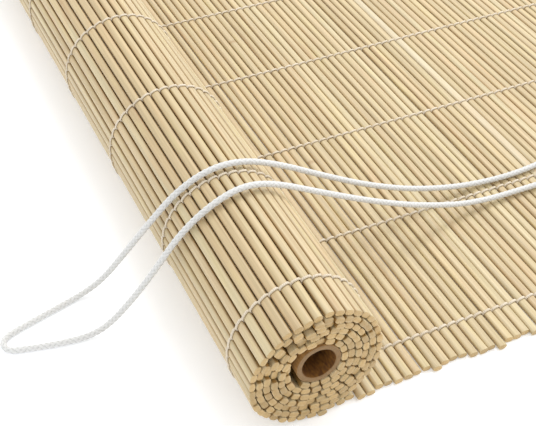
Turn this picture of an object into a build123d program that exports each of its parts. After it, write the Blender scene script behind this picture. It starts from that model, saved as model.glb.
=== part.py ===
from build123d import *
from math import cos, degrees, pi, radians, sin, tan
import os

os.makedirs("parts", exist_ok=True)

# Bamboo roll up blind, lying on its back, part rolled up on its cardboard core.
# X runs along the mat towards its headrail, Y along the sticks, Z up from the floor.
# The origin is on the floor under the middle of the blind, leaving its cord out.
# Places along X are given from the middle of the roll, and along Y from the headrail's near end.
# All sizes in millimetres.

# Mat of sticks
blind_width = 600.0
stick_width = 4.2
stick_gap = 0.8
stick_thick = 3.1
stick_round = 1.2
stick_overhang = 2.5
flat_sticks = 158
flat_groups = 8

# Warp threads that twine round the sticks
thread_thick = 0.08
thread_width = 1.0
thread_clear = 0.04
edge_margin = 22.3
thread_spacing = 78.7

# Roll: turns of the mat round the core, a little flattened where it rests; the innermost
# half turn sweeps on under the core
turn_clear = 0.06
roll_flat = 0.8
half_turns = 12
inner_sweep = 225.0

# Cardboard core tube
core_od = 21.2
core_id = 16.0
core_inset = 0.5
core_room = 0.03

# Wooden headrail at the flat end of the mat
rail_gap = 1.2
rail_width = 30.0
rail_height = 8.0
rail_round = 1.5

# Wood screws, one size throughout
screw_radius = 1.25
screw_length = 6.5
screw_head_radius = 2.5
screw_head_height = 1.2
screw_slot_width = 0.6
screw_slot_depth = 0.6
pilot_clear = 0.05
screw_hole_radius = 1.45

# Hanging plates, one inside the first and one inside the last thread line
hang_thick = 1.5
hang_width = 14.0
hang_length = 36.0
hang_offset = 13.7
hang_eye_radius = 3.5
hang_eye_margin = 7.0
hang_screw_first = 6.5
hang_screw_spacing = 11.0

# Pulleys: a steel bracket, a pin and one or two nylon sheaves
pulley_offset = 39.3
sheave_radius = 8.0
sheave_width = 5.0
sheave_groove = 1.9
groove_depth = 2.5
sheave_gap = 0.4
pin_radius = 1.5
pin_clear = 0.1
pin_head_radius = 2.6
pin_head_height = 0.9
strap_thick = 1.2
strap_width = 9.0
strap_bend = 1.0
strap_clear = 1.6
base_reach = 7.5
base_round = 3.0
base_end = 3.0
base_screw_clear = 2.0

# Lift cord
cord_diameter = 3.2
cord_lift = 0.05
knot_radius = 3.3
knot_length = 5.6

# Screw eye that holds the cord's fixed end
eye_from_pulley = 24.4
eye_from_edge = 8.0
eye_ring = 3.7
eye_wire = 1.9
eye_stem = 1.4
eye_depth = 6.0

# Turned wooden pull at the cord's free end
pull_length = 24.0
pull_radius = 7.5
pull_neck = 3.4
pull_bore_clear = 0.1
pull_bore_depth = 7.0

# ---- Places worked out from the sizes above ----

half_band = stick_thick / 2 + thread_clear + thread_thick
stick_pitch = stick_width + stick_gap
roll_pitch = 2 * half_band + turn_clear
roll_radius = core_od / 2 + core_room + half_band + (half_turns - 1) * roll_pitch / 2
mat_middle = half_band
mat_top = mat_middle + half_band
flat_end = roll_flat / 2 + flat_sticks * stick_pitch
rail_start = flat_end + rail_gap
rail_end = rail_start + rail_width
rail_bottom = mat_middle - stick_thick / 2
rail_top = rail_bottom + rail_height
thread_lines = int((blind_width - 2 * edge_margin) / thread_spacing) + 1
thread_places = [edge_margin + thread_spacing * line for line in range(thread_lines)]
near_pulley = thread_places[0] + pulley_offset
far_pulley = thread_places[-1] - pulley_offset
pulley_x = rail_start + rail_width / 2
near_hang = thread_places[0] + hang_offset
far_hang = thread_places[-1] - hang_offset
eye_inset = near_pulley + eye_from_pulley
sheave_root = sheave_radius - groove_depth
base_screw_offset = sheave_radius + screw_head_radius + base_screw_clear
base_length = 2 * (base_screw_offset + base_end)
hang_end = rail_end + hang_eye_margin + hang_width / 2
roll_reach = roll_radius + roll_flat / 2 + half_band
start = (-(hang_end - roll_reach) / 2, -blind_width / 2, 0)
floor = Plane(origin=start)
side = Plane(origin=start, x_dir=(1, 0, 0), z_dir=(0, -1, 0))


def roll_arc(half_turn):
    """Centre (x, z) and middle radius of one half turn of the roll, counted from outside."""
    on_left = half_turn % 2 == 0
    x = -roll_flat / 2 if on_left else roll_flat / 2
    z = mat_middle + roll_radius + (0 if on_left else roll_pitch / 2)
    return x, z, roll_radius - half_turn * roll_pitch / 2


def along_mat(distance):
    """Place (x, z) and tilt of the mat's middle at a distance from its head end, None past its end."""
    left = distance - flat_sticks * stick_pitch
    if left <= 0:
        return flat_end - distance, mat_middle, 0.0, -1
    for half_turn in range(half_turns):
        x, z, radius = roll_arc(half_turn)
        on_left = half_turn % 2 == 0
        if left <= roll_flat:
            way = 1 if on_left else -1
            height = z - radius if on_left else z + radius
            return way * (roll_flat / 2 - left), height, 0.0, half_turn
        left -= roll_flat
        sweep = inner_sweep if half_turn == half_turns - 1 else 180.0
        if left <= radius * radians(sweep):
            angle = (-90.0 if on_left else 90.0) - degrees(left / radius)
            place = x + radius * cos(radians(angle)), z + radius * sin(radians(angle))
            return place[0], place[1], angle + 90.0, half_turn
        left -= radius * radians(sweep)
    return None


def mat_sticks():
    """(x, z, tilt, half turn) of each stick, from the head end to the inner end of the roll."""
    places = []
    while (place := along_mat((len(places) + 0.5) * stick_pitch)) is not None:
        places.append(place)
    return places


def draw_band_side(offset):
    """Line along the mat, offset from its middle towards the outside of the roll."""
    for half_turn in range(half_turns):
        x, z, radius = roll_arc(half_turn)
        on_left = half_turn % 2 == 0
        first_angle = -90.0 if on_left else 90.0
        sweep = inner_sweep if half_turn == half_turns - 1 else 180.0
        if half_turn > 0:
            height = z - radius - offset if on_left else z + radius + offset
            Line((-x, height), (x, height))
        CenterArc((x, z), radius + offset, first_angle, -sweep)


def draw_band(gap):
    """Closed outline round all the sticks and the headrail, with this gap to them."""
    half = stick_thick / 2 + gap
    first = roll_arc(0)[0]
    draw_band_side(half)
    draw_band_side(-half)
    x, z, radius = roll_arc(half_turns - 1)
    angle = radians(90.0 - inner_sweep)
    Line(
        (x + (radius + half) * cos(angle), z + (radius + half) * sin(angle)),
        (x + (radius - half) * cos(angle), z + (radius - half) * sin(angle)),
    )
    Polyline(
        (first, mat_middle - half),
        (rail_end + gap, mat_middle - half),
        (rail_end + gap, rail_top + gap),
        (rail_start - gap, rail_top + gap),
        (rail_start - gap, mat_middle + half),
        (first, mat_middle + half),
    )


def bend_radii(points):
    """Radius of the arc at each corner of a cord's route, as large as the runs beside it allow."""
    runs = [Vector(*b) - Vector(*a) for a, b in zip(points, points[1:])]
    return [
        0.45 * min(before.length, after.length) / tan(radians(before.get_angle(after)) / 2)
        for before, after in zip(runs, runs[1:])
    ]


# ---- Mat ----

sticks = mat_sticks()
flat_group_size = -(-flat_sticks // flat_groups)


def make_sticks(places, label):
    with BuildPart() as group:
        with BuildSketch(side.offset(stick_overhang)):
            for x, z, tilt, _ in places:
                with Locations(Location((x, z), tilt)):
                    RectangleRounded(stick_width, stick_thick, stick_round)
        extrude(amount=-blind_width - 2 * stick_overhang)
    group.part.label = label
    export_step(group.part, f"parts/{label}.step")


for group_number in range(flat_groups):
    first_stick = group_number * flat_group_size
    in_group = [s for s in sticks[first_stick : first_stick + flat_group_size] if s[3] < 0]
    make_sticks(in_group, f"flat_sticks_{group_number + 1}")

for turn in range(half_turns // 2):
    in_turn = [s for s in sticks if s[3] >= 0 and s[3] // 2 == turn]
    make_sticks(in_turn, f"roll_turn_{turn + 1}_sticks")

for line, place in enumerate(thread_places):
    with BuildPart() as warp_thread:
        with BuildSketch(side.offset(-(place - thread_width / 2))):
            with BuildLine():
                draw_band(thread_clear + thread_thick)
            make_face()
            with BuildLine(mode=Mode.PRIVATE) as hole:
                draw_band(thread_clear)
            make_face(hole.edges(), mode=Mode.SUBTRACT)
        extrude(amount=-thread_width)
    warp_thread.part.label = f"warp_thread_{line + 1}"
    export_step(warp_thread.part, f"parts/warp_thread_{line + 1}.step")

# ---- Cardboard core, in the middle of the innermost layer of the roll ----

core_x, core_z, _ = roll_arc(half_turns - 1)

with BuildPart() as core_tube:
    with BuildSketch(side.offset(-core_inset)):
        with Locations((core_x, core_z)):
            Circle(core_od / 2)
            Circle(core_id / 2, mode=Mode.SUBTRACT)
    extrude(amount=2 * core_inset - blind_width)
core_tube.part.label = "core_tube"
export_step(core_tube.part, "parts/core_tube.step")

# ---- Headrail, with pilot holes for its screws and the screw eye ----

hang_screw_x = [hang_end - hang_length + hang_screw_first + hang_screw_spacing * n for n in range(2)]
hang_places = [(x, y) for y in (near_hang, far_hang) for x in hang_screw_x]
pulley_places = [
    (pulley_x, y + way * base_screw_offset) for y in (near_pulley, far_pulley) for way in (-1, 1)
]
eye_x = rail_start + eye_from_edge

with BuildPart() as headrail:
    with BuildSketch(side):
        with Locations((rail_start + rail_width / 2, rail_bottom + rail_height / 2)):
            RectangleRounded(rail_width, rail_height, rail_round)
    extrude(amount=-blind_width)
    with BuildSketch(floor.offset(rail_top)):
        with Locations(*hang_places, *pulley_places):
            Circle(screw_radius + pilot_clear)
    extrude(amount=-screw_length, mode=Mode.SUBTRACT)
    with BuildSketch(floor.offset(rail_top)):
        with Locations((eye_x, eye_inset)):
            Circle(eye_wire / 2 + pilot_clear)
    extrude(amount=-eye_depth, mode=Mode.SUBTRACT)
headrail.part.label = "headrail"
export_step(headrail.part, "parts/headrail.step")


def make_screws(places, seat, label):
    with BuildPart() as screws:
        with BuildSketch(floor.offset(seat)):
            with Locations(*places):
                Circle(screw_radius)
        extrude(amount=-screw_length)
        with BuildSketch(floor.offset(seat)):
            with Locations(*places):
                Circle(screw_head_radius)
        extrude(amount=screw_head_height)
        fillet(screws.edges().group_by(Axis.Z)[-1], screw_head_height / 2)
        with BuildSketch(floor.offset(seat + screw_head_height)):
            with Locations(*places):
                Rectangle(screw_slot_width, 2 * screw_head_radius)
        extrude(amount=-screw_slot_depth, mode=Mode.SUBTRACT)
    screws.part.label = label
    export_step(screws.part, f"parts/{label}.step")


make_screws(hang_places, rail_top + hang_thick, "hanging_plate_screws")
make_screws(pulley_places, rail_top + strap_thick, "pulley_screws")

# ---- Hanging plates, flat on the headrail with an eye past its edge ----


def make_hanging_plate(y, label):
    with BuildPart() as plate:
        with BuildSketch(floor.offset(rail_top)):
            with Locations((hang_end - hang_length / 2, y)):
                SlotOverall(hang_length, hang_width)
            with Locations((rail_end + hang_eye_margin, y)):
                Circle(hang_eye_radius, mode=Mode.SUBTRACT)
            with Locations(*[(x, y) for x in hang_screw_x]):
                Circle(screw_hole_radius, mode=Mode.SUBTRACT)
        extrude(amount=hang_thick)
    plate.part.label = label
    export_step(plate.part, f"parts/{label}.step")


make_hanging_plate(near_hang, "near_hanging_plate")
make_hanging_plate(far_hang, "far_hanging_plate")

# ---- Pulleys: the far one has a second sheave above the first ----

web_inner = sheave_radius + strap_clear
web_outer = web_inner + strap_thick
sheave_step = sheave_width + sheave_gap
first_sheave_z = rail_top + strap_thick + sheave_gap + sheave_width / 2


def make_pulley(y, sheaves, label):
    strap_under = rail_top + strap_thick + sheave_gap + sheaves * sheave_step
    strap_top = strap_under + strap_thick
    with BuildPart() as bracket:
        with BuildSketch(floor.offset(rail_top)):
            with Locations((pulley_x + (base_reach - web_outer) / 2, y)):
                RectangleRounded(base_reach + web_outer, base_length, base_round)
        extrude(amount=strap_thick)
        with BuildSketch(side.offset(-(y - strap_width / 2))):
            with BuildLine():
                Polyline(
                    (pulley_x - web_outer, rail_top),
                    (pulley_x - web_outer, strap_top),
                    (pulley_x, strap_top),
                    (pulley_x, strap_under),
                    (pulley_x - web_inner, strap_under),
                    (pulley_x - web_inner, rail_top),
                    close=True,
                )
            make_face()
        extrude(amount=-strap_width)
        outer_bend = floor.from_local_coords((pulley_x - web_outer, y, strap_top))
        fillet(bracket.edges().filter_by(Axis.Y).sort_by_distance(outer_bend)[0], strap_bend + strap_thick)
        inner_bend = floor.from_local_coords((pulley_x - web_inner, y, strap_under))
        fillet(bracket.edges().filter_by(Axis.Y).sort_by_distance(inner_bend)[0], strap_bend)
        with BuildSketch(floor.offset(strap_under)):
            with Locations((pulley_x, y)):
                Circle(strap_width / 2)
        extrude(amount=strap_thick)
        with BuildSketch(floor.offset(rail_top)):
            with Locations((pulley_x, y)):
                Circle(pin_radius)
        extrude(amount=strap_top - rail_top, mode=Mode.SUBTRACT)
        with BuildSketch(floor.offset(rail_top)):
            with Locations((pulley_x, y - base_screw_offset), (pulley_x, y + base_screw_offset)):
                Circle(screw_hole_radius)
        extrude(amount=strap_thick, mode=Mode.SUBTRACT)
    bracket.part.label = f"{label}_pulley_bracket"
    export_step(bracket.part, f"parts/{label}_pulley_bracket.step")

    with BuildPart() as pin:
        with BuildSketch(floor.offset(rail_top)):
            with Locations((pulley_x, y)):
                Circle(pin_radius)
        extrude(amount=strap_top - rail_top)
        with BuildSketch(floor.offset(strap_top)):
            with Locations((pulley_x, y)):
                Circle(pin_head_radius)
        extrude(amount=pin_head_height)
        fillet(pin.edges().group_by(Axis.Z)[-1], pin_head_height / 2)
    pin.part.label = f"{label}_pulley_pin"
    export_step(pin.part, f"parts/{label}_pulley_pin.step")


def make_sheave(y, number, label):
    middle = first_sheave_z + number * sheave_step
    bore = pin_radius + pin_clear
    with BuildPart() as sheave:
        with BuildSketch(side.offset(-y)):
            with Locations((pulley_x + (bore + sheave_radius) / 2, middle)):
                Rectangle(sheave_radius - bore, sheave_width)
            with Locations((pulley_x + sheave_root + sheave_groove, middle)):
                Circle(sheave_groove, mode=Mode.SUBTRACT)
        revolve(axis=Axis(floor.from_local_coords((pulley_x, y, 0)), (0, 0, 1)))
    sheave.part.label = label
    export_step(sheave.part, f"parts/{label}.step")


make_pulley(near_pulley, 1, "near")
make_pulley(far_pulley, 2, "far")
make_sheave(near_pulley, 0, "near_sheave")
make_sheave(far_pulley, 0, "far_lower_sheave")
make_sheave(far_pulley, 1, "far_upper_sheave")

# ---- Screw eye: a ring across the cord on a threaded stem ----

eye_z = rail_top + eye_stem + eye_ring

with BuildPart() as screw_eye:
    with BuildSketch(floor.offset(eye_z)):
        with Locations((eye_x, eye_inset + eye_ring)):
            Circle(eye_wire / 2)
    revolve(axis=Axis(floor.from_local_coords((eye_x, eye_inset, eye_z)), (1, 0, 0)))
    with BuildSketch(floor.offset(rail_top - eye_depth)):
        with Locations((eye_x, eye_inset)):
            Circle(eye_wire / 2)
    extrude(amount=eye_depth + eye_stem)
screw_eye.part.label = "screw_eye"
export_step(screw_eye.part, "parts/screw_eye.step")

# ---- Lift cord, from its knot behind the screw eye to the wooden pull ----

knot_x = eye_x + eye_wire / 2
cord_z = mat_top + cord_diameter / 2 + cord_lift
rail_cord_z = rail_top + thread_clear + thread_thick + cord_diameter / 2 + cord_lift
floor_z = cord_diameter / 2
sheave_track = sheave_root + sheave_groove
octagon = sheave_track * tan(radians(22.5))
track_x = pulley_x + sheave_track
near_track_y = near_pulley - sheave_track
far_track_y = far_pulley + sheave_track
pull_z = mat_top + pull_radius + cord_lift
pull_end_x = 289.0
pull_y = 531.1

route = [
    # knot, screw eye and down to the mat
    (knot_x, eye_inset, eye_z),
    (792.0, 86.1, 13.0),
    (780.5, 86.7, 10.4),
    (762.0, 88.2, 6.6),
    # fixed strand along the mat
    (734.0, 91.0, cord_z),
    (688.0, 96.4, cord_z),
    (632.0, 104.6, cord_z),
    (575.0, 114.0, cord_z),
    (517.0, 122.6, cord_z),
    (459.0, 128.6, cord_z),
    (400.0, 131.0, cord_z),
    (341.0, 129.6, cord_z),
    (284.0, 124.2, cord_z),
    (230.0, 114.8, cord_z),
    (183.0, 104.9, cord_z),
    # up and over the roll
    (146.0, 106.3, 5.6),
    (112.0, 106.5, 14.6),
    (83.0, 106.0, 28.0),
    (57.0, 105.6, 44.6),
    (34.0, 105.2, 60.4),
    (12.0, 104.5, 71.0),
    (-10.0, 103.2, 71.2),
    (-28.0, 104.2, 61.4),
    (-41.0, 107.6, 45.4),
    (-52.0, 112.6, 25.6),
    (-62.0, 116.4, 8.4),
    # loop on the floor
    (-73.0, 116.0, floor_z),
    (-89.0, 111.0, floor_z),
    (-105.9, 106.2, floor_z),
    (-114.3, 103.1, floor_z),
    (-116.1, 98.3, floor_z),
    (-113.8, 93.7, floor_z),
    (-105.2, 91.8, floor_z),
    (-91.0, 88.6, floor_z),
    (-77.0, 87.6, floor_z),
    # back over the roll
    (-67.0, 87.8, 4.8),
    (-56.0, 86.4, 19.4),
    (-45.0, 84.8, 36.6),
    (-34.0, 83.2, 54.0),
    (-19.0, 82.2, 67.4),
    (-1.0, 83.6, 73.0),
    (18.0, 86.0, 68.6),
    (44.0, 87.6, 51.6),
    (74.0, 88.6, 33.4),
    (104.0, 89.6, 18.8),
    (138.0, 91.0, 7.4),
    (174.0, 91.6, cord_z),
    # running strand along the mat
    (230.0, 92.5, cord_z),
    (286.0, 94.0, cord_z),
    (343.0, 93.0, cord_z),
    (401.0, 89.0, cord_z),
    (459.0, 82.5, cord_z),
    (517.0, 74.5, cord_z),
    (575.0, 67.0, cord_z),
    (633.0, 61.0, cord_z),
    (688.0, 57.2, cord_z),
    (734.0, 55.2, cord_z),
    (764.0, 54.5, 6.6),
    (782.0, 54.3, 10.2),
    (794.0, 54.1, 12.0),
    # round the near sheave
    (pulley_x - octagon, near_track_y, first_sheave_z),
    (pulley_x + octagon, near_track_y, first_sheave_z),
    (track_x, near_pulley - octagon, first_sheave_z),
    (track_x, near_pulley + octagon, first_sheave_z),
    # along the headrail
    (813.8, 74.0, 11.6),
    (813.0, 92.0, 10.3),
    (811.0, 124.0, rail_cord_z),
    (808.4, 176.0, rail_cord_z),
    (806.6, 232.0, rail_cord_z),
    (806.2, 290.0, rail_cord_z),
    (807.0, 348.0, rail_cord_z),
    (808.8, 404.0, rail_cord_z),
    (811.0, 452.0, rail_cord_z),
    (812.9, 488.0, rail_cord_z),
    (813.5, 508.0, 10.5),
    (813.9, 521.5, 11.7),
    # round the far sheave
    (track_x, far_pulley - octagon, first_sheave_z),
    (track_x, far_pulley + octagon, first_sheave_z),
    (pulley_x + octagon, far_track_y, first_sheave_z),
    (pulley_x - octagon, far_track_y, first_sheave_z),
    # free end down the mat to the pull
    (794.0, 541.4, 12.0),
    (782.0, 541.6, 9.8),
    (765.0, 542.1, 6.4),
    (738.0, 543.3, cord_z),
    (694.0, 545.5, cord_z),
    (640.0, 546.0, cord_z),
    (584.0, 544.0, cord_z),
    (527.0, 539.5, cord_z),
    (470.0, 534.5, cord_z),
    (414.0, 531.0, cord_z),
    (362.0, 529.5, cord_z),
    (336.0, 529.8, 5.4),
    (320.0, 530.4, 8.2),
    (306.0, pull_y, pull_z),
    (pull_end_x, pull_y, pull_z),
]
radii = bend_radii(route)

with BuildPart() as lift_cord:
    with BuildLine(floor) as cord_line:
        FilletPolyline(*route, radius=radii)
    cord_path = cord_line.wire()
    with BuildSketch(Plane(origin=cord_path @ 0, z_dir=cord_path % 0)):
        Circle(cord_diameter / 2)
    sweep(path=cord_path)
lift_cord.part.label = "lift_cord"
export_step(lift_cord.part, "parts/lift_cord.step")

section = pi * (cord_diameter / 2) ** 2
print("cord radii:", " ".join(f"{radius:.1f}" for radius in radii))
print(f"cord length {cord_path.length:.1f}, volume {lift_cord.part.volume:.1f}, "
      f"section times length {section * cord_path.length:.1f}")

with BuildPart() as cord_knot:
    with BuildSketch(floor.offset(eye_z)):
        with BuildLine():
            Polyline(
                (knot_x + knot_length, eye_inset + cord_diameter / 2),
                (knot_x + knot_length, eye_inset),
                (knot_x, eye_inset),
                (knot_x, eye_inset + cord_diameter / 2),
            )
            ThreePointArc(
                (knot_x, eye_inset + cord_diameter / 2),
                (knot_x + knot_length / 2, eye_inset + knot_radius),
                (knot_x + knot_length, eye_inset + cord_diameter / 2),
            )
        make_face()
    revolve(axis=Axis(floor.from_local_coords((eye_x, eye_inset, eye_z)), (1, 0, 0)))
cord_knot.part.label = "cord_knot"
export_step(cord_knot.part, "parts/cord_knot.step")

# ---- Wooden pull, turned, with a bore that the cord's end goes into ----

pull_mouth = pull_end_x + pull_bore_depth

with BuildPart() as cord_pull:
    with BuildSketch(floor.offset(pull_z)):
        with BuildLine():
            Line((pull_mouth - pull_length, pull_y), (pull_mouth, pull_y))
            Line((pull_mouth, pull_y), (pull_mouth, pull_y + pull_neck))
            Spline(
                (pull_mouth, pull_y + pull_neck),
                (pull_mouth - pull_length * 0.62, pull_y + pull_radius),
                (pull_mouth - pull_length, pull_y),
                tangents=((-1, 0.25), (0, -1)),
            )
        make_face()
    revolve(axis=Axis(floor.from_local_coords((pull_mouth, pull_y, pull_z)), (1, 0, 0)))
    pull_bottom = floor.from_local_coords((pull_end_x, pull_y, pull_z))
    with BuildSketch(Plane(origin=pull_bottom, z_dir=(1, 0, 0))):
        Circle(cord_diameter / 2 + pull_bore_clear)
    extrude(amount=pull_bore_depth, mode=Mode.SUBTRACT)
cord_pull.part.label = "cord_pull"
export_step(cord_pull.part, "parts/cord_pull.step")
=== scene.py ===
import math
import random
from collections import namedtuple

import bpy
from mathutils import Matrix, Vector


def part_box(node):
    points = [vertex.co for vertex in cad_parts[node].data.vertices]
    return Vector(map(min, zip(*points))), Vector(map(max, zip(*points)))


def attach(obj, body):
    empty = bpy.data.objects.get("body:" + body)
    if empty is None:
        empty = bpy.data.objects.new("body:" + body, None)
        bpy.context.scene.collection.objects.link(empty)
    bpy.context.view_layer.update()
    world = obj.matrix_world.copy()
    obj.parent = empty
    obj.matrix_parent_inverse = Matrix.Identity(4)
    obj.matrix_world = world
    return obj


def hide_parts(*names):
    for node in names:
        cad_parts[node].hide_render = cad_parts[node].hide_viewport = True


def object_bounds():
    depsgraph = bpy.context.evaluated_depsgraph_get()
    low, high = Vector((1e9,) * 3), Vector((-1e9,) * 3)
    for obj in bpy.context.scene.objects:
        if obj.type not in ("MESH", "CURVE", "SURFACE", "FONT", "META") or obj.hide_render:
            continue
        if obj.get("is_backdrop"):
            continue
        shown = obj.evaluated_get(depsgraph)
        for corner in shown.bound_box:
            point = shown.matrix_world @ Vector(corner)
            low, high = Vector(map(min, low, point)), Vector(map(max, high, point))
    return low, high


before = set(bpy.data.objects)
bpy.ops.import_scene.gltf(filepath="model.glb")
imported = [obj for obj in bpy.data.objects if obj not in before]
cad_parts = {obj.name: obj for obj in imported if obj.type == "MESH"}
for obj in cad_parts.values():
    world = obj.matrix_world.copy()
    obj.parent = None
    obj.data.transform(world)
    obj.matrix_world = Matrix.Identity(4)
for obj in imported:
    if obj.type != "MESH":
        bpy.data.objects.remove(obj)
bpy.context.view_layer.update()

# Looks of the bamboo roll up blind. Metres, in the CAD's frame. Places along X are given
# from the middle of the roll and along Y from the headrail's near end, as in the CAD source.

MM = 0.001
BODY = "blind"
STICK_PITCH, STICK_WIDTH, STICK_THICK = 5.0 * MM, 4.2 * MM, 3.1 * MM
FLAT_STICKS, FLAT_GROUP = 158, 20
MAT_MIDDLE = 1.67 * MM
ROLL_PITCH, ROLL_RADIUS, ROLL_FLAT = 3.4 * MM, 31.0 * MM, 0.8 * MM
HALF_TURNS, OUTER_HALF_TURNS, INNER_SWEEP = 12, 2, 225.0
THREAD_LINES = 8
CORE_BORE = 8.0 * MM

core_low, core_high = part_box("core_tube")
rail_low, rail_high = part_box("headrail")
stick_low, stick_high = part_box("flat_sticks_1")
roll_x = (core_low.x + core_high.x) / 2 - ROLL_FLAT / 2
near_y = rail_low.y
stick_start, stick_end = stick_low.y - near_y, stick_high.y - near_y
core_middle = (core_low + core_high) / 2


def here(x, y, z):
    """A place in the CAD's frame, from one given from the roll and the headrail's near end."""
    return Vector((roll_x + x, near_y + y, z))


# ---- Camera ----

CAMERA_PLACE = (-0.5534, -0.5814, 0.3895)
CAMERA_TILT, CAMERA_TURN = 49.706, -24.525
LENS, SENSOR = 75.0, 36.0

camera = bpy.data.objects.new("camera", bpy.data.cameras.new("camera"))
bpy.context.scene.collection.objects.link(camera)
camera.location = CAMERA_PLACE
camera.rotation_euler = (math.radians(CAMERA_TILT), 0, math.radians(CAMERA_TURN))
camera.data.lens = LENS
camera.data.sensor_width = SENSOR
bpy.context.scene.camera = camera


# ---- Materials ----


class Shader:
    """Adds linked nodes to a new material."""

    def __init__(self, name):
        self.material = bpy.data.materials.new(name)
        self.material.use_nodes = True
        self.tree = self.material.node_tree
        self.surface = self.tree.nodes["Principled BSDF"]
        self.coordinates = self.add("TexCoord").outputs["Object"]

    def add(self, kind, *values, **settings):
        """A shader node with these values or links on its first inputs."""
        made = self.tree.nodes.new("ShaderNode" + kind)
        for key, value in settings.items():
            setattr(made, key, value)
        for socket, value in zip(made.inputs, values):
            self.feed(socket, value)
        return made

    def feed(self, socket, value):
        if isinstance(value, bpy.types.NodeSocket):
            self.tree.links.new(value, socket)
        elif value is not None:
            socket.default_value = value

    def math(self, operation, *values):
        return self.add("Math", *values, operation=operation).outputs[0]

    def stretched(self, scale, source=None):
        """The object's coordinates, or those given, scaled by axis."""
        return self.add("Mapping", source or self.coordinates, None, None, scale).outputs[0]

    def even_noise(self, frequency, detail=2.0):
        """Noise that is the same along every axis."""
        return self.noise(self.stretched((frequency,) * 3), detail=detail)

    def noise(self, vector, detail=2.0, roughness=0.5, distortion=0.0):
        made = self.add("TexNoise", vector)
        made.inputs["Scale"].default_value = 1.0
        made.inputs["Detail"].default_value = detail
        made.inputs["Roughness"].default_value = roughness
        made.inputs["Distortion"].default_value = distortion
        return made.outputs["Fac"]

    def ramp(self, fac, *stops):
        """Colours or greys by place, blended."""
        made = self.add("ValToRGB", fac)
        band = made.color_ramp.elements
        while len(band) < len(stops):
            band.new(0.5)
        for element, (place, colour) in zip(band, stops):
            element.position = place
            element.color = (*colour, 1) if isinstance(colour, tuple) else (*[colour] * 3, 1)
        return made.outputs[0]

    def mix(self, fac, a, b, blend="MIX"):
        """Two colours blended; either may be a colour or a link."""
        made = self.add("Mix", data_type="RGBA", blend_type=blend)
        for name, value in (("Factor", fac), ("A", a), ("B", b)):
            socket = next(s for s in made.inputs if s.name == name and s.enabled)
            self.feed(socket, (*value, 1) if isinstance(value, tuple) else value)
        return next(s for s in made.outputs if s.enabled)

    def shade(self, base, factor):
        """A colour darkened or lightened by a grey or a tint."""
        return self.mix(1.0, base, factor, "MULTIPLY")

    def facing_y(self):
        """How squarely the surface faces along Y, as a cut end does."""
        normal = self.add("TexCoord").outputs["Normal"]
        return self.math("ABSOLUTE", self.add("SeparateXYZ", normal).outputs[1])

    def bump(self, height, strength, distance, under=None):
        """A bump, laid over another one where that is given."""
        made = self.add("Bump")
        made.inputs["Strength"].default_value = strength
        made.inputs["Distance"].default_value = distance
        self.feed(made.inputs["Height"], height)
        if under is not None:
            self.feed(made.inputs["Normal"], under)
        return made.outputs[0]

    def done(self, **sockets):
        """Feeds the shader's own sockets and gives the material."""
        for name, value in sockets.items():
            self.feed(self.surface.inputs[name.replace("_", " ")], value)
        return self.material


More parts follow.
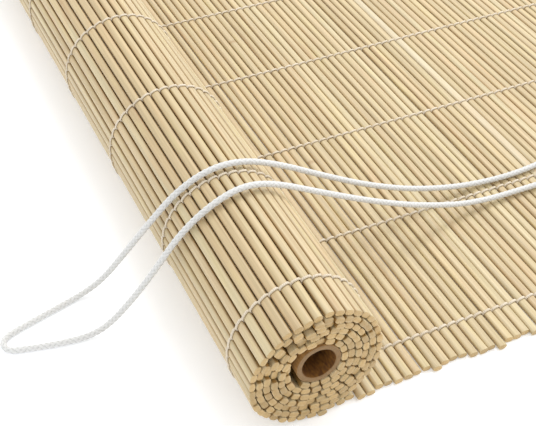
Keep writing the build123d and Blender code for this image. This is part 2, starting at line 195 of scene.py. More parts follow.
def bamboo_material():
    """Split bamboo; each stick's tint holds its tone, warmth, seed and the strength of the painted
    shade on its sides.
    """
    rosy, stained = (0.608, 0.424, 0.24), (0.576, 0.368, 0.176)
    blushed, greenish = (0.60, 0.43, 0.24), (0.624, 0.512, 0.264)
    shaded_side_colour, node_ring = (0.53, 0.37, 0.17), (0.336, 0.2, 0.08)
    cut_dark, cut_light = (0.28, 0.163, 0.05), (0.48, 0.318, 0.122)
    node_sharpness, node_share, node_strength, node_reach = 400.0, 0.2, 0.55, 0.28
    s = Shader("bamboo")
    tint = s.add("Attribute", attribute_name="tint")
    part = s.add("SeparateColor", tint.outputs["Color"])
    tone, warm, seed = part.outputs[0], part.outputs[1], part.outputs[2]
    # each stick takes its grain from another place
    shift_x, shift_y = s.math("MULTIPLY", seed, 3.7), s.math("MULTIPLY", seed, 1.9)
    shift = s.add("CombineXYZ", shift_x, shift_y, 0.0).outputs[0]
    moved = s.add("VectorMath", s.coordinates, shift, operation="ADD").outputs[0]
    fibre = s.noise(s.stretched((1500, 22, 1500), moved), detail=4.0, roughness=0.62)
    coarse = s.noise(s.stretched((420, 9, 420), moved), detail=2.0)
    patch = s.noise(s.stretched((160, 16, 160), moved), detail=2.0, distortion=0.6)
    base = s.ramp(
        tone,
        (0.0, (0.464, 0.348, 0.18)),
        (0.2, (0.536, 0.416, 0.226)),
        (0.5, (0.568, 0.457, 0.266)),
        (0.8, (0.608, 0.513, 0.314)),
        (1.0, (0.64, 0.552, 0.376)),
    )
    base = s.mix(warm, base, rosy)
    base = s.mix(s.ramp(patch, (0.56, 0.0), (0.76, 0.5)), base, stained)
    blush = s.noise(s.stretched((210, 24, 210), moved), detail=3.0, distortion=0.4)
    base = s.mix(s.ramp(blush, (0.5, 0.0), (0.72, 0.38)), base, blushed)
    base = s.mix(s.ramp(blush, (0.28, 0.6), (0.46, 0.0)), base, greenish)
    base = s.shade(base, s.ramp(coarse, (0.3, 0.86), (0.7, 1.06)))
    base = s.shade(base, s.ramp(fibre, (0.25, 0.84), (0.55, 1.0), (0.8, 1.04)))
    # painted shade: the split sides, where the sticks meet, are darker than the face
    base = s.shade(base, s.ramp(tint.outputs["Alpha"], (0.1, 1.0), (0.9, shaded_side_colour)))
    # a few sticks carry a bamboo node: a thin darker ring
    along = s.add("SeparateXYZ", s.coordinates).outputs[1]
    draw = s.math("FRACT", s.math("MULTIPLY", seed, 53.0))
    spot = s.math("MULTIPLY_ADD", draw, 2 * node_reach, -node_reach)
    away = s.math("ABSOLUTE", s.math("SUBTRACT", along, spot))
    ring = s.ramp(s.math("MULTIPLY", away, node_sharpness), (0.1, 1.0), (0.9, 0.0))
    has = s.math("GREATER_THAN", s.math("FRACT", s.math("MULTIPLY", seed, 17.0)), 1.0 - node_share)
    ring = s.math("MULTIPLY", s.math("MULTIPLY", ring, has), node_strength)
    base = s.mix(ring, base, node_ring)
    # cut ends: tan end grain with the dots of the fibre bundles
    end = s.ramp(s.facing_y(), (0.55, 0.0), (0.9, 1.0))
    dots = s.add("TexVoronoi", s.stretched((2600, 300, 2600), moved))
    dots.inputs["Scale"].default_value = 1.0
    cut = s.ramp(dots.outputs["Distance"], (0.1, cut_dark), (0.42, cut_light))
    cut = s.mix(0.25, cut, base)
    cut = s.shade(cut, s.ramp(seed, (0.0, 0.84), (0.5, 1.0), (1.0, 1.1)))
    base = s.mix(end, base, cut)
    rough = s.ramp(fibre, (0.3, 0.52), (0.8, 0.40))
    bumps = s.bump(fibre, 0.35, 0.00012)
    bumps = s.bump(coarse, 0.25, 0.0004, bumps)
    return s.done(Base_Color=base, Roughness=rough, Normal=bumps)


def yarn_material():
    """Spun cotton yarn, its plies a spiral along the tube's own coordinates."""
    twists_per_metre = 1150.0
    s = Shader("warp_yarn")
    part = s.add("SeparateXYZ", s.add("UVMap", uv_map="along").outputs[0])
    turn = s.math("ADD", s.math("MULTIPLY", part.outputs[1], twists_per_metre), part.outputs[0])
    ply = s.math("ABSOLUTE", s.math("SUBTRACT", s.math("FRACT", turn), 0.5))
    fuzz = s.even_noise(2600, detail=3.0)
    tone = s.even_noise(60, detail=1.0)
    base = s.ramp(tone, (0.3, (0.68, 0.58, 0.44)), (0.7, (0.76, 0.67, 0.54)))
    # painted shade: the grooves between the plies are darker
    base = s.shade(base, s.ramp(ply, (0.0, 0.80), (0.3, 1.0)))
    base = s.shade(base, s.ramp(fuzz, (0.3, 0.86), (0.7, 1.08)))
    bumps = s.bump(ply, 0.7, 0.0002)
    bumps = s.bump(fuzz, 0.4, 0.0001, bumps)
    return s.done(Base_Color=base, Roughness=0.85, Normal=bumps)


def cord_material():
    """White braided cotton, with painted shade in the creases between its strands."""
    shaded_crease, shaded_strand_side, on_strand = (0.4, 0.4, 0.384), (0.656, 0.656, 0.64), (0.736, 0.736, 0.728)
    s = Shader("cotton_cord")
    fuzz = s.even_noise(2200, detail=3.0)
    crease = s.add("Attribute", attribute_name="crease").outputs["Fac"]
    # painted shade: the colour darkens from the strands' crowns into the creases between them
    base = s.ramp(crease, (0.0, shaded_crease), (0.5, shaded_strand_side), (1.0, on_strand))
    base = s.shade(base, s.ramp(fuzz, (0.3, 0.93), (0.7, 1.03)))
    s.surface.inputs["Sheen Weight"].default_value = 0.25
    bumps = s.bump(fuzz, 0.5, 0.00012)
    return s.done(Base_Color=base, Roughness=0.8, Normal=bumps)


def wood_material(name, light, dark, scale):
    """Sanded wood; its grain runs along the axis with the smallest scale."""
    s = Shader(name)
    grain = s.noise(s.stretched(scale), detail=4.0, roughness=0.6, distortion=0.8)
    pores = s.noise(s.stretched(tuple(4 * v for v in scale)), detail=3.0)
    base = s.ramp(grain, (0.3, dark), (0.7, light))
    base = s.shade(base, s.ramp(pores, (0.3, 0.9), (0.6, 1.02)))
    bumps = s.bump(pores, 0.3, 0.0002)
    rough = s.ramp(pores, (0.3, 0.6), (0.7, 0.45))
    return s.done(Base_Color=base, Roughness=rough, Normal=bumps)


def card_material():
    """Kraft card: plain outside, with painted shade in the bore, its plies shown at the cut ends."""
    glue_line, ply_light, ply_dark = (0.15, 0.08, 0.029), (0.27, 0.162, 0.068), (0.225, 0.132, 0.052)
    plies_per_metre, ply_wobble = 1500.0, 0.8
    s = Shader("core_card")
    axis = (core_middle.x, 0, core_middle.z)
    from_axis = s.add("VectorMath", s.coordinates, axis, operation="SUBTRACT").outputs[0]
    flat = s.add("VectorMath", from_axis, (1, 0, 1), operation="MULTIPLY").outputs[0]
    radius = s.add("VectorMath", flat, operation="LENGTH").outputs["Value"]
    wobble = s.math("MULTIPLY", s.even_noise(500), ply_wobble)
    plies = s.math("FRACT", s.math("MULTIPLY_ADD", radius, plies_per_metre, wobble))
    end = s.ramp(s.facing_y(), (0.5, 0.0), (0.85, 1.0))
    fibre = s.noise(s.stretched((900, 300, 900)), detail=4.0)
    kraft = s.ramp(fibre, (0.3, (0.256, 0.12, 0.028)), (0.7, (0.368, 0.2, 0.064)))
    # painted shade: the bore is coloured far darker than the outside, for the shade inside it
    shaded_bore = s.ramp(fibre, (0.3, (0.075, 0.022, 0.001)), (0.7, (0.24, 0.098, 0.008)))
    kraft = s.mix(s.math("LESS_THAN", radius, CORE_BORE + 0.3 * MM), kraft, shaded_bore)
    cut = s.ramp(plies, (0.0, glue_line), (0.4, ply_light), (0.9, ply_dark))
    cut = s.shade(cut, s.ramp(fibre, (0.3, 0.85), (0.7, 1.1)))
    base = s.mix(end, kraft, cut)
    bumps = s.bump(s.mix(end, fibre, plies), 0.4, 0.0002)
    return s.done(Base_Color=base, Roughness=0.8, Normal=bumps)


def steel_material():
    """Zinc plated steel with a faint brushed grain."""
    s = Shader("zinc_steel")
    grain = s.noise(s.stretched((300, 1500, 900)), detail=3.0)
    base = s.ramp(grain, (0.3, (0.44, 0.448, 0.464)), (0.7, (0.576, 0.584, 0.592)))
    s.surface.inputs["Metallic"].default_value = 1.0
    rough = s.ramp(grain, (0.3, 0.38), (0.7, 0.26))
    return s.done(Base_Color=base, Roughness=rough, Normal=s.bump(grain, 0.15, 0.0001))


def nylon_material():
    """Off white moulded nylon."""
    s = Shader("white_nylon")
    mottle = s.even_noise(400)
    base = s.ramp(mottle, (0.3, (0.624, 0.608, 0.56)), (0.7, (0.68, 0.664, 0.624)))
    return s.done(Base_Color=base, Roughness=0.38, Normal=s.bump(mottle, 0.1, 0.0001))


BAMBOO, YARN, COTTON = bamboo_material(), yarn_material(), cord_material()
CARD, STEEL, NYLON = card_material(), steel_material(), nylon_material()
RAIL_WOOD = wood_material("rail_wood", (0.576, 0.44, 0.264), (0.48, 0.336, 0.184), (260, 12, 260))
PULL_WOOD = wood_material("pull_wood", (0.56, 0.4, 0.224), (0.416, 0.264, 0.128), (30, 400, 400))


# ---- Mesh building ----


def add_piece(name, vertices, faces, material):
    """A new smooth mesh piece, riding on the blind."""
    mesh = bpy.data.meshes.new(name)
    mesh.from_pydata([tuple(v) for v in vertices], [], faces)
    mesh.materials.append(material)
    mesh.polygons.foreach_set("use_smooth", [True] * len(mesh.polygons))
    mesh.update()
    piece = bpy.data.objects.new(name, mesh)
    bpy.context.scene.collection.objects.link(piece)
    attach(piece, BODY)
    return piece


def bridge(faces, first, second, count):
    """Quads between two rings of vertices."""
    for k in range(count):
        after = (k + 1) % count
        faces.append((first + k, first + after, second + after, second + k))


# ---- Mat of bamboo sticks ----

ROUNDING = 1e-9
# a place (x, z) of the mat's middle, the way on and outward as angles, and the half turn
Place = namedtuple("Place", "x z way out half_turn")


def roll_arc(half_turn):
    """Centre (x, z) and middle radius of one half turn of the roll, counted from outside."""
    on_left = half_turn % 2 == 0
    x = -ROLL_FLAT / 2 if on_left else ROLL_FLAT / 2
    z = MAT_MIDDLE + ROLL_RADIUS + (0 if on_left else ROLL_PITCH / 2)
    return x, z, ROLL_RADIUS - half_turn * ROLL_PITCH / 2


def along_mat(distance):
    """The mat's place at a distance from its headrail end, or None past its last stick.

    The flat part counts as half turn -1.
    """
    left = distance - FLAT_STICKS * STICK_PITCH
    if left <= 0:
        return Place(ROLL_FLAT / 2 - left, MAT_MIDDLE, math.pi, -math.pi / 2, -1)
    for half_turn in range(HALF_TURNS):
        x, z, radius = roll_arc(half_turn)
        on_left = half_turn % 2 == 0
        way = math.pi if on_left else 0.0
        out = -math.pi / 2 if on_left else math.pi / 2
        if left <= ROLL_FLAT:
            along = ROLL_FLAT / 2 - left
            rise = math.sin(out) * radius
            return Place(along if on_left else -along, z + rise, way, out, half_turn)
        left -= ROLL_FLAT
        sweep = INNER_SWEEP if half_turn == HALF_TURNS - 1 else 180.0
        if left <= radius * math.radians(sweep) + ROUNDING:
            turned = left / radius
            out -= turned
            x, z = x + radius * math.cos(out), z + radius * math.sin(out)
            return Place(x, z, way - turned, out, half_turn)
        left -= radius * math.radians(sweep)
    return None


# one stick of the flat part is wider and paler than the rest
PALE_STICK, PALE_HALF_WIDTH = 188 * MM, 2.6 * MM
PROFILE, STATIONS = 16, 16
ABOVE_FLOOR = 0.02 * MM
# distance from the end and share of the full size there, then evenly along the stick
WORN_END = ((0.0, 0.90), (0.07 * MM, 0.965), (0.3 * MM, 1.0), (4 * MM, 1.0), (11 * MM, 1.0))
EVEN_FROM = 22 * MM
SPLAY_SPREAD, SPLAY_SHARE, SPLAY_REACH = 0.25, 0.06, 16 * MM
# ranges of a stick's width and thickness, as shares of the plain stick's, and of its squareness
OUTER_SECTION = ((1.03, 1.14), (0.93, 1.02), (2.3, 3.0))
INNER_SECTION = ((1.07, 1.14), (0.96, 1.03), (2.7, 3.6))
TILT_DEGREES, END_SLANT = 1.6, 0.16 * MM
FLAT_SWAY, ROLLED_SWAY, FLAT_LIFT = 0.13, 0.08, 0.16
WAVES, WAVE_RATES, PHASES, LIFT_RATE = 3, (2.2, 9.0), (0, 6.3), 1.7
# means and spreads of tone and warmth, and the limits that they are held to
TONE, TONE_LIMITS = (0.5, 0.15), (0.2, 0.76)
WARMTH, WARMTH_LIMITS = (0.03, 0.14), (0.0, 0.5)
# strength of the painted shade on a stick's split sides, where it meets its neighbours: more in the
# roll, most in its inner turns, less at the worn ends
FLAT_SIDE_SHADE, OUTER_SIDE_SHADE, INNER_SIDE_SHADE, PALE_SIDE_SHADE = 0.45, 0.8, 1.1, 0.3
SIDE_SHADE_AT_ENDS = 0.6
# how far a stick's end stops short of the longest ones, in mm: limits, then means and spreads
INSET_LIMITS = (0.1, 8.0)
FLAT_INSET, OUTER_INSET, INNER_INSET = (4.4, 1.15), (3.2, 0.45), (2.6, 0.3)
# at the roll's upper left the ends stand out and are less even, and the last half turns stay back
UPPER_LEFT = math.radians(125)
OUTER_STANDS_OUT, INNER_STANDS_OUT, INNER_UNEVEN = 2.5, 1.2, 0.9
FIRST_HELD_BACK, HELD_BACK = 9, 4.5


def within(limits, value):
    """The value, or the limit that it passes."""
    return min(max(value, limits[0]), limits[1])


def end_inset(rng, half_turn, out):
    """How far a stick's end stops short of the longest ones.

    The flat sticks are the most uneven. In the roll the upper left ones stand furthest out, and
    the innermost turns stay back there, so that the core shows.
    """
    upper_left = max(0.0, math.cos(out - UPPER_LEFT))
    if half_turn < 0:
        inset = rng.gauss(*FLAT_INSET)
    elif half_turn < OUTER_HALF_TURNS:
        mean, spread = OUTER_INSET
        inset = mean - OUTER_STANDS_OUT * upper_left + rng.gauss(0, spread)
    else:
        mean, spread = INNER_INSET
        spread += INNER_UNEVEN * upper_left**2
        inset = mean - INNER_STANDS_OUT * upper_left + rng.gauss(0, spread)
    if half_turn >= FIRST_HELD_BACK:
        inset += HELD_BACK * upper_left**2
    return within(INSET_LIMITS, inset) * MM


def add_stick(vertices, faces, tints, rng, place):
    """One bamboo stick: a rounded strip, not quite straight, with worn cut ends."""
    x, z, way, out, half_turn = place
    flat = half_turn < 0
    inner = half_turn >= OUTER_HALF_TURNS
    wide_range, thick_range, square_range = INNER_SECTION if inner else OUTER_SECTION
    wide = STICK_WIDTH / 2 * rng.uniform(*wide_range)
    thick = STICK_THICK / 2 * rng.uniform(*thick_range)
    squareness = rng.uniform(*square_range)
    tilt = way + math.radians(rng.gauss(0, TILT_DEGREES))
    near, far = stick_start + end_inset(rng, half_turn, out), stick_end - end_inset(rng, half_turn, out)
    sway = FLAT_SWAY if flat else ROLLED_SWAY
    waves = [(rng.gauss(0, sway), rng.uniform(*WAVE_RATES), rng.uniform(*PHASES)) for _ in range(WAVES)]
    splay = [rng.gauss(0, SPLAY_SPREAD) for _ in range(2)]
    lift = rng.uniform(0.0, FLAT_LIFT) * MM if flat else 0.0
    tone = within(TONE_LIMITS, rng.gauss(*TONE))
    warm, seed = within(WARMTH_LIMITS, rng.gauss(*WARMTH)), rng.random()
    along, up = (math.cos(tilt), math.sin(tilt)), (-math.sin(tilt), math.cos(tilt))
    side_shade = INNER_SIDE_SHADE if inner else FLAT_SIDE_SHADE if flat else OUTER_SIDE_SHADE
    if flat and abs(x - PALE_STICK) < STICK_PITCH / 2:
        wide, tone, warm, side_shade = PALE_HALF_WIDTH, 1.0, 0.0, PALE_SIDE_SHADE
    slants = [rng.uniform(-END_SLANT, END_SLANT) for _ in range(2)]
    first = len(vertices)
    middle_length = far - near - 2 * EVEN_FROM
    even = [near + EVEN_FROM + middle_length * k / (STATIONS - 1) for k in range(STATIONS)]
    stations = [(near + d, size, slants[0] * (size < 1)) for d, size in WORN_END]
    stations += [(y, 1.0, 0.0) for y in even]
    stations += [(far - d, size, slants[1] * (size < 1)) for d, size in reversed(WORN_END)]
    for y, size, slant in stations:
        t = (y - stick_start) / (stick_end - stick_start)
        side = sum(reach * math.sin(rate * t + phase) for reach, rate, phase in waves) * MM
        splayed = splay[0] * max(0.0, SPLAY_SHARE - t) + splay[1] * max(0.0, t - 1 + SPLAY_SHARE)
        side += splayed * SPLAY_REACH
        rise = lift * (0.5 + 0.5 * math.sin(waves[0][1] * LIFT_RATE * t + waves[1][2]))
        for k in range(PROFILE):
            angle = 2 * math.pi * k / PROFILE
            c, s = math.cos(angle), math.sin(angle)
            a = math.copysign(abs(c) ** (2 / squareness), c)
            b = math.copysign(abs(s) ** (2 / squareness), s) * thick * size
            px = x + (a * wide * size + side) * along[0] + b * up[0]
            pz = z + (a * wide * size + side) * along[1] + b * up[1] + rise
            vertices.append(here(px, y + slant * a, max(pz, ABOVE_FLOOR)))
            # the tint's last value is painted shade, strongest on the sides that face the neighbouring
            # sticks
            tints.append((tone, warm, seed, c**4 * side_shade * (SIDE_SHADE_AT_ENDS if size < 1 else 1.0)))
    last = first + (len(stations) - 1) * PROFILE
    for ring in range(first, last, PROFILE):
        bridge(faces, ring, ring + PROFILE, PROFILE)
    faces.append(tuple(first + k for k in reversed(range(PROFILE))))
    faces.append(tuple(last + k for k in range(PROFILE)))


def add_sticks(name, node, places, rng):
    """A piece of several sticks, which stands for one node."""
    vertices, faces, tints = [], [], []
    for place in places:
        add_stick(vertices, faces, tints, rng, place)
    piece = add_piece(name, vertices, faces, BAMBOO)
    colours = piece.data.attributes.new("tint", "FLOAT_COLOR", "POINT")
    colours.data.foreach_set("color", [c for tint in tints for c in tint])
    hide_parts(node)


SEED = 11

rng = random.Random(SEED)
stick_places = []
while (found := along_mat((len(stick_places) + 0.5) * STICK_PITCH)) is not None:
    stick_places.append(found)

for group in range(-(-FLAT_STICKS // FLAT_GROUP)):
    members = stick_places[group * FLAT_GROUP : (group + 1) * FLAT_GROUP]
    chosen = [place for place in members if place.half_turn < 0]
    add_sticks(f"bamboo_flat_{group + 1}", f"flat_sticks_{group + 1}", chosen, rng)
for turn in range(HALF_TURNS // 2):
    chosen = [place for place in stick_places if place.half_turn // 2 == turn]
    add_sticks(f"bamboo_turn_{turn + 1}", f"roll_turn_{turn + 1}_sticks", chosen, rng)


# ---- Warp yarns: two that twine round every stick ----

YARN_HALF_WIDTH, YARN_HALF_HEIGHT, PRESSED = 0.78 * MM, 0.46 * MM, 0.045 * MM
YARN_TWIST = 0.38 * MM
YARN_SIDES = 6
HALF_BETWEEN_STICKS = 0.6 * MM
YARN_ABOVE_FLOOR = 0.01 * MM
# the arch over a stick, as a power of the place on it and one of the height
ARCH_ALONG, ARCH_HEIGHT = 5, 0.55
PRESSED_IN, NARROWING = 0.8, 0.15
# past this angle the roll's outer turn lies on the flat mat
UNDERSIDE = math.radians(-55)
DRIFT, DRIFT_RATES = (0.1, 0.35), (8, 30)


def add_tube(vertices, faces, coordinates, line):
    """A flattened tube along points (centre, half height, half width); Y is its width."""
    first = len(vertices)
    travelled = 0.0
    for n, (centre, half_height, half_width) in enumerate(line):
        before, after = line[max(n - 1, 0)][0], line[min(n + 1, len(line) - 1)][0]
        way = (after - before).normalized()
        across = Vector((0, 1, 0))
        up = way.cross(across).normalized()
        across = up.cross(way)
        if n:
            travelled += (centre - line[n - 1][0]).length
        for k in range(YARN_SIDES):
            angle = 2 * math.pi * k / YARN_SIDES
            point = centre + up * math.sin(angle) * half_height + across * math.cos(angle) * half_width
            point.z = max(point.z, YARN_ABOVE_FLOOR)
            vertices.append(point)
            coordinates.append((k / YARN_SIDES, travelled))
    for ring in range(len(line) - 1):
        bridge(faces, first + ring * YARN_SIDES, first + (ring + 1) * YARN_SIDES, YARN_SIDES)
    last = first + (len(line) - 1) * YARN_SIDES
    faces.append(tuple(first + k for k in reversed(range(YARN_SIDES))))
    faces.append(tuple(last + k for k in range(YARN_SIDES)))


def yarn_point(distance, yarn, y, wobble):
    """Centre and half sizes of one yarn of a pair at a distance along the mat.

    On the open side of the mat the yarn keeps its height, and between layers it is pressed flat.
    """
    x, z, _, out, half_turn = along_mat(distance)
    number = math.floor(distance / STICK_PITCH)
    u = distance / STICK_PITCH - number - 0.5
    side = 1 if (number + yarn) % 2 else -1
    if half_turn < 0:
        free = side < 0
    elif half_turn < OUTER_HALF_TURNS:
        free = side > 0 and not (half_turn == 1 and out < UNDERSIDE)
    else:
        free = False
    arch = (1 - abs(2 * u) ** ARCH_ALONG) ** ARCH_HEIGHT if abs(u) < 0.5 else 0.0
    over = YARN_HALF_HEIGHT if free else PRESSED
    half = over * arch + HALF_BETWEEN_STICKS * (1 - arch)
    reach = side * (STICK_THICK / 2 + PRESSED_IN * over) * arch
    slant = side * math.sin(math.pi * u) * YARN_TWIST
    centre = here(x + math.cos(out) * reach, y + slant + wobble, z + math.sin(out) * reach)
    return centre, half, YARN_HALF_WIDTH * (1 - NARROWING + NARROWING * arch)


def rail_line(yarn, y):
    """The yarn's way round the headrail, from its outer side to the mat: x, z and half height."""
    end, start = rail_high.x - roll_x, rail_low.x - roll_x
    bottom, top = rail_low.z, rail_high.z
    over = YARN_HALF_HEIGHT
    if yarn:
        points = [
            (end + over, bottom + 3.6 * MM, over),
            (end + over, top - 1.6 * MM, over),
            (end - 0.2 * MM, top + 0.05 * MM, over),
            (end - 1.8 * MM, top + over, over),
            ((start + end) / 2, top + over, over),
            (start + 1.6 * MM, top + over, over),
            (start + 0.2 * MM, top + 0.05 * MM, over),
            (start - over, top - 1.6 * MM, over),
            (start - over, bottom + 3.4 * MM, over),
        ]
    else:
        points = [
            (end + over, bottom + 4.4 * MM, over),
            (end + over, bottom + 1.7 * MM, over),
            (end - 0.1 * MM, bottom + 0.25 * MM, 0.15 * MM),
            (end - 1.8 * MM, bottom - PRESSED, PRESSED),
            ((start + end) / 2, bottom - PRESSED, PRESSED),
            (start + 1.6 * MM, bottom - PRESSED, PRESSED),
            (start + 0.2 * MM, bottom + 0.25 * MM, 0.15 * MM),
        ]
    lean = 0.3 * MM if yarn else -0.3 * MM
    return [(here(x, y + lean, z), half, YARN_HALF_WIDTH) for x, z, half in points]


# places of a yarn's points on a stick, in shares of the pitch from its middle
OPEN_STEPS = (-0.5, -0.45, -0.33, 0.0, 0.33, 0.45)
INNER_STEPS = (-0.5, -0.25, 0.0, 0.25)

for line in range(THREAD_LINES):
    low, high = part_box(f"warp_thread_{line + 1}")
    y = (low.y + high.y) / 2 - near_y
    vertices, faces, coordinates = [], [], []
    drift = [
        (rng.uniform(*DRIFT) * MM, rng.uniform(*DRIFT_RATES), rng.uniform(*PHASES)) for _ in range(2)
    ]
    for yarn in range(2):
        path = rail_line(yarn, y)
        for number, place in enumerate(stick_places):
            inner = place.half_turn >= OUTER_HALF_TURNS
            for u in INNER_STEPS if inner else OPEN_STEPS:
                distance = (number + 0.5 + u) * STICK_PITCH
                wobble = sum(size * math.sin(rate * distance + phase) for size, rate, phase in drift)
                path.append(yarn_point(distance, yarn, y, wobble))
        add_tube(vertices, faces, coordinates, path)
    piece = add_piece(f"warp_yarns_{line + 1}", vertices, faces, YARN)
    layer = piece.data.uv_layers.new(name="along")
    corners = [coordinates[corner.vertex_index] for corner in piece.data.loops]
    layer.data.foreach_set("uv", [value for corner in corners for value in corner])
    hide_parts(f"warp_thread_{line + 1}")


# ---- Lift cord: braided cotton, with the route of its CAD tube ----

CORD, CORD_LENGTH = 3.2 * MM, 2.97
BRAID_STEP, BRAID_DEPTH = 2.7 * MM, 0.18
BRAID_STRANDS, STRAND_ROUND, STRAND_DIP = 4, 0.7, 0.38
CORD_SIDES, CORD_STEP, NEAR_SHARE = 16, 0.5 * MM, 0.3
ON_MAT, ON_FLOOR, ON_RAIL = 5.2 * MM, 1.62 * MM, 10.3 * MM
SHEAVE_Z = 12.22 * MM
route = [
    # knot, screw eye and down to the mat
    (0.80055, 0.0860, 0.01322),
    (0.7920, 0.0861, 0.0130),
    (0.7805, 0.0867, 0.0104),
    (0.7620, 0.0882, 0.0066),
    # fixed strand along the mat
    (0.7340, 0.0910, ON_MAT),
    (0.6880, 0.0964, ON_MAT),
    (0.6320, 0.1046, ON_MAT),
    (0.5750, 0.1140, ON_MAT),
    (0.5170, 0.1226, ON_MAT),
    (0.4590, 0.1286, ON_MAT),
    (0.4000, 0.1310, ON_MAT),
    (0.3410, 0.1296, ON_MAT),
    (0.2840, 0.1242, ON_MAT),
    (0.2300, 0.1148, ON_MAT),
    (0.1830, 0.1046, ON_MAT),
    # up and over the roll
    (0.1470, 0.1063, 0.0050),
    (0.1120, 0.1065, 0.0136),
    (0.0820, 0.1060, 0.0270),
    (0.0550, 0.1056, 0.0426),
    (0.0300, 0.1052, 0.0582),
    (0.0100, 0.1044, 0.0676),
    (-0.0080, 0.1032, 0.0684),
    (-0.0240, 0.1038, 0.0596),
    (-0.0370, 0.1070, 0.0430),
    (-0.0490, 0.1124, 0.0240),
    (-0.0600, 0.1166, 0.0076),
    # loop on the floor
    (-0.0710, 0.1166, ON_FLOOR),
    (-0.0890, 0.1112, ON_FLOOR),
    (-0.1059, 0.1062, ON_FLOOR),
    (-0.1143, 0.1031, ON_FLOOR),
    (-0.1161, 0.0983, ON_FLOOR),
    (-0.1138, 0.0937, ON_FLOOR),
    (-0.1052, 0.0918, ON_FLOOR),
    (-0.0910, 0.0888, ON_FLOOR),
    (-0.0770, 0.0876, ON_FLOOR),
    # back over the roll
    (-0.0665, 0.0882, 0.0046),
    (-0.0540, 0.0866, 0.0184),
    (-0.0420, 0.0848, 0.0346),
    (-0.0310, 0.0832, 0.0514),
    (-0.0170, 0.0820, 0.0644),
    (0.0010, 0.0842, 0.0696),
    (0.0180, 0.0864, 0.0644),
    (0.0440, 0.0876, 0.0490),
    (0.0740, 0.0886, 0.0322),
    (0.1040, 0.0896, 0.0180),
    (0.1380, 0.0910, 0.0066),
    (0.1740, 0.0916, ON_MAT),
    # running strand along the mat
    (0.2300, 0.0925, ON_MAT),
    (0.2860, 0.0940, ON_MAT),
    (0.3430, 0.0930, ON_MAT),
    (0.4010, 0.0890, ON_MAT),
    (0.4590, 0.0825, ON_MAT),
    (0.5170, 0.0745, ON_MAT),
    (0.5750, 0.0670, ON_MAT),
    (0.6330, 0.0610, ON_MAT),
    (0.6880, 0.0572, ON_MAT),
    (0.7340, 0.0552, ON_MAT),
    (0.7640, 0.0545, 0.0066),
    (0.7820, 0.0543, 0.0102),
    (0.7940, 0.0541, 0.0120),
    # round the near sheave
    (0.80353, 0.0542, SHEAVE_Z),
    (0.80967, 0.0542, SHEAVE_Z),
    (0.8140, 0.05853, SHEAVE_Z),
    (0.8140, 0.06467, SHEAVE_Z),
    # along the headrail
    (0.8138, 0.0740, 0.0118),
    (0.8130, 0.0920, 0.0107),
    (0.8110, 0.1240, ON_RAIL),
    (0.8084, 0.1760, ON_RAIL),
    (0.8066, 0.2320, ON_RAIL),
    (0.8062, 0.2900, ON_RAIL),
    (0.8070, 0.3480, ON_RAIL),
    (0.8088, 0.4040, ON_RAIL),
    (0.8110, 0.4520, ON_RAIL),
    (0.8129, 0.4880, ON_RAIL),
    (0.8135, 0.5080, 0.0107),
    (0.8139, 0.5215, 0.0117),
    # round the far sheave
    (0.8140, 0.53083, SHEAVE_Z),
    (0.8140, 0.53697, SHEAVE_Z),
    (0.80967, 0.5413, SHEAVE_Z),
    (0.80353, 0.5413, SHEAVE_Z),
    # free end down the mat to the pull
    (0.7940, 0.5414, 0.0120),
    (0.7820, 0.5416, 0.0098),
    (0.7650, 0.5421, 0.0066),
    (0.7380, 0.5433, ON_MAT),
    (0.6940, 0.5455, ON_MAT),
    (0.6400, 0.5460, ON_MAT),
    (0.5840, 0.5440, ON_MAT),
    (0.5270, 0.5395, ON_MAT),
    (0.4700, 0.5345, ON_MAT),
    (0.4140, 0.5310, ON_MAT),
    (0.3620, 0.5295, ON_MAT),
    (0.3360, 0.5298, 0.0055),
    (0.3200, 0.5304, 0.0082),
    (0.3060, 0.5311, 0.01089),
    (0.2890, 0.5311, 0.01089),
]


def smooth_line(points):
    """Points along the NURBS spline that has these control points."""
    curve = bpy.data.curves.new("route", "CURVE")
    curve.dimensions = "3D"
    curve.resolution_u = 12
    spline = curve.splines.new("NURBS")
    spline.points.add(len(points) - 1)
    for target, point in zip(spline.points, points):
        target.co = (*point, 1.0)
    spline.order_u = 3
    spline.use_endpoint_u = True
    holder = bpy.data.objects.new("route", curve)
    bpy.context.scene.collection.objects.link(holder)
    bpy.context.view_layer.update()
    evaluated = holder.evaluated_get(bpy.context.evaluated_depsgraph_get())
    mesh = bpy.data.meshes.new_from_object(evaluated)
    line = [v.co.copy() for v in mesh.vertices]
    bpy.data.objects.remove(holder)
    bpy.data.meshes.remove(mesh)
    return line


def evenly(line, step):
    """The same line at even steps, and its end unless the last step falls near it."""
    out, left = [line[0].copy()], step
    for a, b in zip(line, line[1:]):
        length = (b - a).length
        at = left
        while at <= length:
            out.append(a.lerp(b, at / length))
            at += step
        left = at - length
    if (out[-1] - line[-1]).length > step * NEAR_SHARE:
        out.append(line[-1].copy())
    return out


def braid(angle, travelled):
    """Height of a braid of four strands each way, 0 in its creases to 1 on a strand."""
    around = BRAID_STRANDS * angle / (2 * math.pi)
    u, v = around + travelled / BRAID_STEP, around - travelled / BRAID_STEP
    fu, fv = u - math.floor(u), v - math.floor(v)
    across, along = (fu, fv) if (math.floor(u) + math.floor(v)) % 2 else (fv, fu)
    crown = 1 - STRAND_DIP + STRAND_DIP * math.sin(math.pi * along)
    return math.sin(math.pi * across) ** STRAND_ROUND * crown


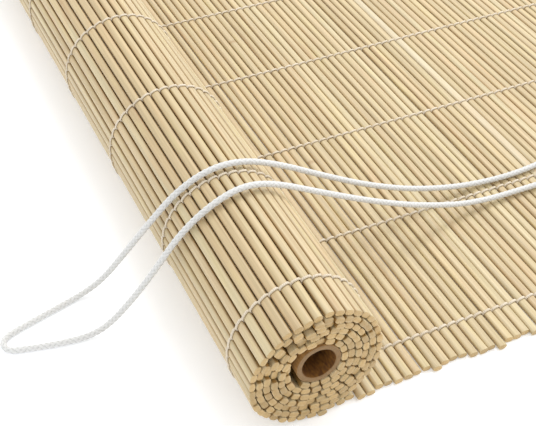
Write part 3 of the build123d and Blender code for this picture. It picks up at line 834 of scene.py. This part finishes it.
def add_cord(name, line, radius):
    """A braided cord as a mesh along a line."""
    vertices, faces, creases = [], [], []
    up = Vector((0, 0, 1))
    travelled = 0.0
    for n, centre in enumerate(line):
        way = (line[min(n + 1, len(line) - 1)] - line[max(n - 1, 0)]).normalized()
        up = (up - way * up.dot(way)).normalized()
        across = way.cross(up)
        if n:
            travelled += (centre - line[n - 1]).length
        for k in range(CORD_SIDES):
            angle = 2 * math.pi * k / CORD_SIDES
            height = braid(angle, travelled)
            out = up * math.cos(angle) + across * math.sin(angle)
            vertices.append(centre + out * radius * (1 - BRAID_DEPTH + BRAID_DEPTH * height))
            creases.append(height)
    for ring in range(len(line) - 1):
        bridge(faces, ring * CORD_SIDES, (ring + 1) * CORD_SIDES, CORD_SIDES)
    last = (len(line) - 1) * CORD_SIDES
    faces.append(tuple(reversed(range(CORD_SIDES))))
    faces.append(tuple(last + k for k in range(CORD_SIDES)))
    piece = add_piece(name, vertices, faces, COTTON)
    piece.data.attributes.new("crease", "FLOAT", "POINT").data.foreach_set("value", creases)
    return piece


cord_line = smooth_line([here(*point) for point in route])
cord_line = evenly(cord_line, CORD_STEP)
cord = add_cord("lift_cord_braid", cord_line, CORD / 2)
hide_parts("lift_cord")

# the knot at the screw eye, an overhand knot drawn tight
KNOT_POINTS = 40
KNOT_DEPTH, KNOT_SIZE, KNOT_STRAND = 1.35 * MM, 0.62 * MM, 1.3 * MM

knot_low, knot_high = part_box("cord_knot")
knot_middle = (knot_low + knot_high) / 2
knot_turns = []
for n in range(KNOT_POINTS):
    t = 2 * math.pi * n / KNOT_POINTS
    in_out = math.sin(3 * t) * KNOT_DEPTH
    sideways = (math.sin(t) + 2 * math.sin(2 * t)) * KNOT_SIZE
    upwards = (math.cos(t) - 2 * math.cos(2 * t)) * KNOT_SIZE
    knot_turns.append(knot_middle + Vector((in_out, sideways, upwards)))
knot = add_cord("lift_cord_knot", knot_turns + knot_turns[:1], KNOT_STRAND)
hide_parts("cord_knot")


# ---- Cardboard core ----

CORE_SIDES, CORE_STEPS = 72, 60
RIM, RIM_IN, RIM_ALONG = 0.35 * MM, 0.1 * MM, 0.12 * MM
SEAM_LEAD, SEAM_SHARE, SEAM_DEPTH = 95 * MM, 0.02, 0.09 * MM
WORN_RIM, WORN_DEPTH = 0.3 * MM, 0.12 * MM


def add_core():
    """A spiral wound card tube with softened rims and a seam that runs round it."""
    outer, inner = (core_high.x - core_low.x) / 2, CORE_BORE
    length = core_high.y - core_low.y
    straight, steps = length - 2 * RIM, range(CORE_STEPS + 1)
    outside = [(outer - RIM, 0.0), (outer - RIM_IN, RIM_ALONG)]
    outside += [(outer, RIM + straight * n / CORE_STEPS) for n in steps]
    outside += [(outer - RIM_IN, length - RIM_ALONG), (outer - RIM, length)]
    inside = [(inner + RIM, length), (inner + RIM_IN, length - RIM_ALONG)]
    inside += [(inner, length - RIM - straight * n / CORE_STEPS) for n in steps]
    inside += [(inner + RIM_IN, RIM_ALONG), (inner + RIM, 0.0)]
    rings = outside + inside
    vertices, faces = [], []
    for radius, y in rings:
        for k in range(CORE_SIDES):
            angle = 2 * math.pi * k / CORE_SIDES
            seam = (angle / (2 * math.pi) + y / SEAM_LEAD) % 1.0
            groove = SEAM_DEPTH if seam < SEAM_SHARE and RIM < y < length - RIM else 0.0
            r = radius - groove if radius > (inner + outer) / 2 else radius + groove
            worn = abs(math.sin(3 * angle + 1) * math.sin(5 * angle)) if y < WORN_RIM else 0.0
            x, z = core_middle.x + r * math.cos(angle), core_middle.z + r * math.sin(angle)
            vertices.append((x, core_low.y + y + worn * WORN_DEPTH, z))
    for ring in range(len(rings)):
        bridge(faces, ring * CORE_SIDES, (ring + 1) % len(rings) * CORE_SIDES, CORE_SIDES)
    piece = add_piece("card_core", vertices, faces, CARD)
    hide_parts("core_tube")


add_core()


# ---- CAD pieces that keep their shape ----


def finish_node(node, material):
    """A CAD node with a finished material."""
    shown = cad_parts[node]
    shown.data.materials.clear()
    shown.data.materials.append(material)


finish_node("headrail", RAIL_WOOD)
finish_node("cord_pull", PULL_WOOD)
for node in (
    "near_hanging_plate", "far_hanging_plate", "hanging_plate_screws", "pulley_screws", "screw_eye",
    "near_pulley_bracket", "far_pulley_bracket", "near_pulley_pin", "far_pulley_pin",
):
    finish_node(node, STEEL)
for node in ("near_sheave", "far_lower_sheave", "far_upper_sheave"):
    finish_node(node, NYLON)


# ---- Floor and light ----

FLOOR_REACH = 12.0
FLOOR_COLOUR, FLOOR_GLOW = (0.92, 0.935, 0.96, 1), 0.23
WORLD_LIGHT = 1.05
WHITE = (1, 1, 1, 1)

floor_material = bpy.data.materials.new("studio_floor")
floor_material.use_nodes = True
floor_surface = floor_material.node_tree.nodes["Principled BSDF"]
floor_surface.inputs["Base Color"].default_value = FLOOR_COLOUR
floor_surface.inputs["Roughness"].default_value = 0.9
floor_surface.inputs["Specular IOR Level"].default_value = 0.1
floor_surface.inputs["Emission Color"].default_value = WHITE
floor_surface.inputs["Emission Strength"].default_value = FLOOR_GLOW
ground = bpy.data.meshes.new("studio_floor")
corner_signs = ((-1, -1), (1, -1), (1, 1), (-1, 1))
ground.from_pydata([(x * FLOOR_REACH, y * FLOOR_REACH, 0) for x, y in corner_signs], [], [(0, 1, 2, 3)])
ground.materials.append(floor_material)
floor = bpy.data.objects.new("studio_floor", ground)
bpy.context.scene.collection.objects.link(floor)
floor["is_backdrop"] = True

world = bpy.data.worlds.new("studio")
world.use_nodes = True
world.node_tree.nodes["Background"].inputs["Color"].default_value = WHITE
world.node_tree.nodes["Background"].inputs["Strength"].default_value = WORLD_LIGHT
bpy.context.scene.world = world
bpy.context.scene.view_settings.view_transform = "Standard"


def add_light(name, place, aim, size, power):
    """A soft square light."""
    data = bpy.data.lights.new(name, "AREA")
    data.size = size
    data.energy = power
    light = bpy.data.objects.new(name, data)
    bpy.context.scene.collection.objects.link(light)
    light.location = place
    light.rotation_euler = (Vector(aim) - Vector(place)).to_track_quat("-Z", "Y").to_euler()


add_light("key", place=(0.45, 1.3, 2.3), aim=(-0.3, -0.1, 0.0), size=1.0, power=31.0)
add_light("side", place=(1.7, 0.1, 1.3), aim=(-0.4, -0.1, 0.0), size=1.4, power=19.0)

low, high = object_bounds()
